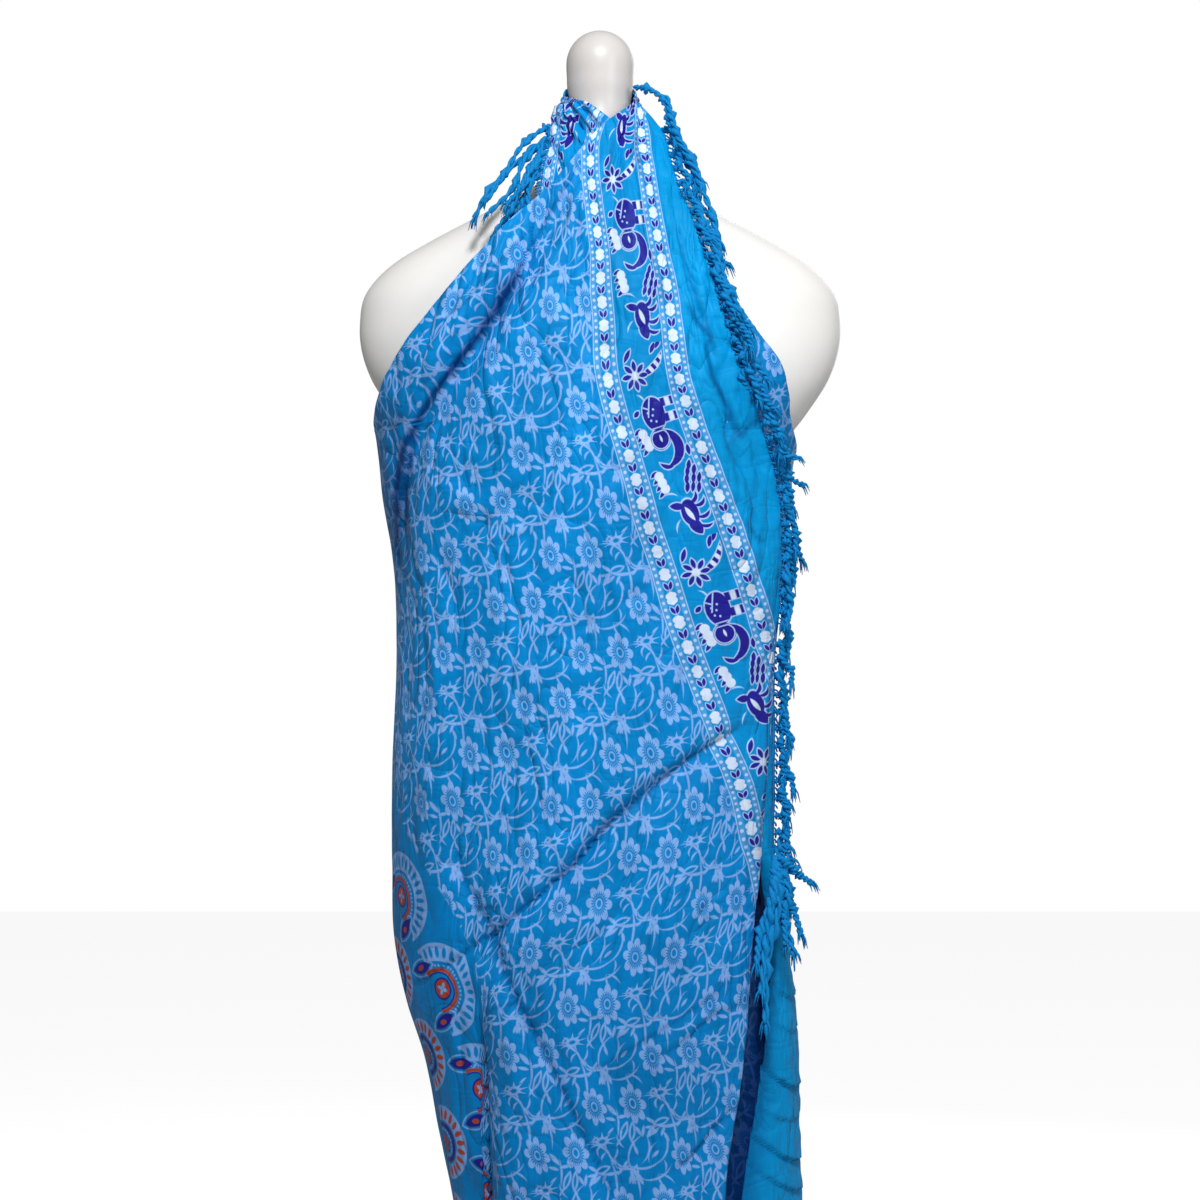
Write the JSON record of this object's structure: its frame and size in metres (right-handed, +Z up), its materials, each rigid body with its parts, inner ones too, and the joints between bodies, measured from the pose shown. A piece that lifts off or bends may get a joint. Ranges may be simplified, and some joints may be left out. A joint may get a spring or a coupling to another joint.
{
  "type": "halter-tied sarong on dress form",
  "caption": "Fringed printed rayon sarong tied as a crossed halter dress, worn by an armless dress form on a pole stand with a round base.",
  "frame": {"origin": "centre of the part's box in plan, on the surface that the stand's base rests on", "axes": "+Z up along the form's pole; the garment's front faces -Y; +X is the viewer's right as seen from the front"},
  "size_m": [0.442, 0.32, 1.58],
  "materials": {
    "printed_rayon": "soft printed rayon with a slight sheen",
    "plain_rayon": "soft plain rayon with a slight sheen",
    "fringe_thread": "twisted rayon thread",
    "form_shell": "off-white satin shell",
    "stand_steel": "polished",
    "stand_enamel": "white satin enamel"
  },
  "bodies": {
    "root": {"front_wrap": "printed_rayon", "under_wrap": "printed_rayon", "back_wrap": "printed_rayon", "plain_strip": "plain_rayon", "fringe_outer_end": "fringe_thread", "fringe_outer_end_low": "fringe_thread", "fringe_inner_end": "fringe_thread", "neck_knot": "printed_rayon", "tie_tail_left": "printed_rayon", "tie_tail_right": "printed_rayon", "form_torso": "form_shell", "neck_cap": "form_shell", "stand_pole": "stand_steel", "stand_collar": "stand_steel", "stand_base": "stand_enamel"}
  },
  "joints": []
}
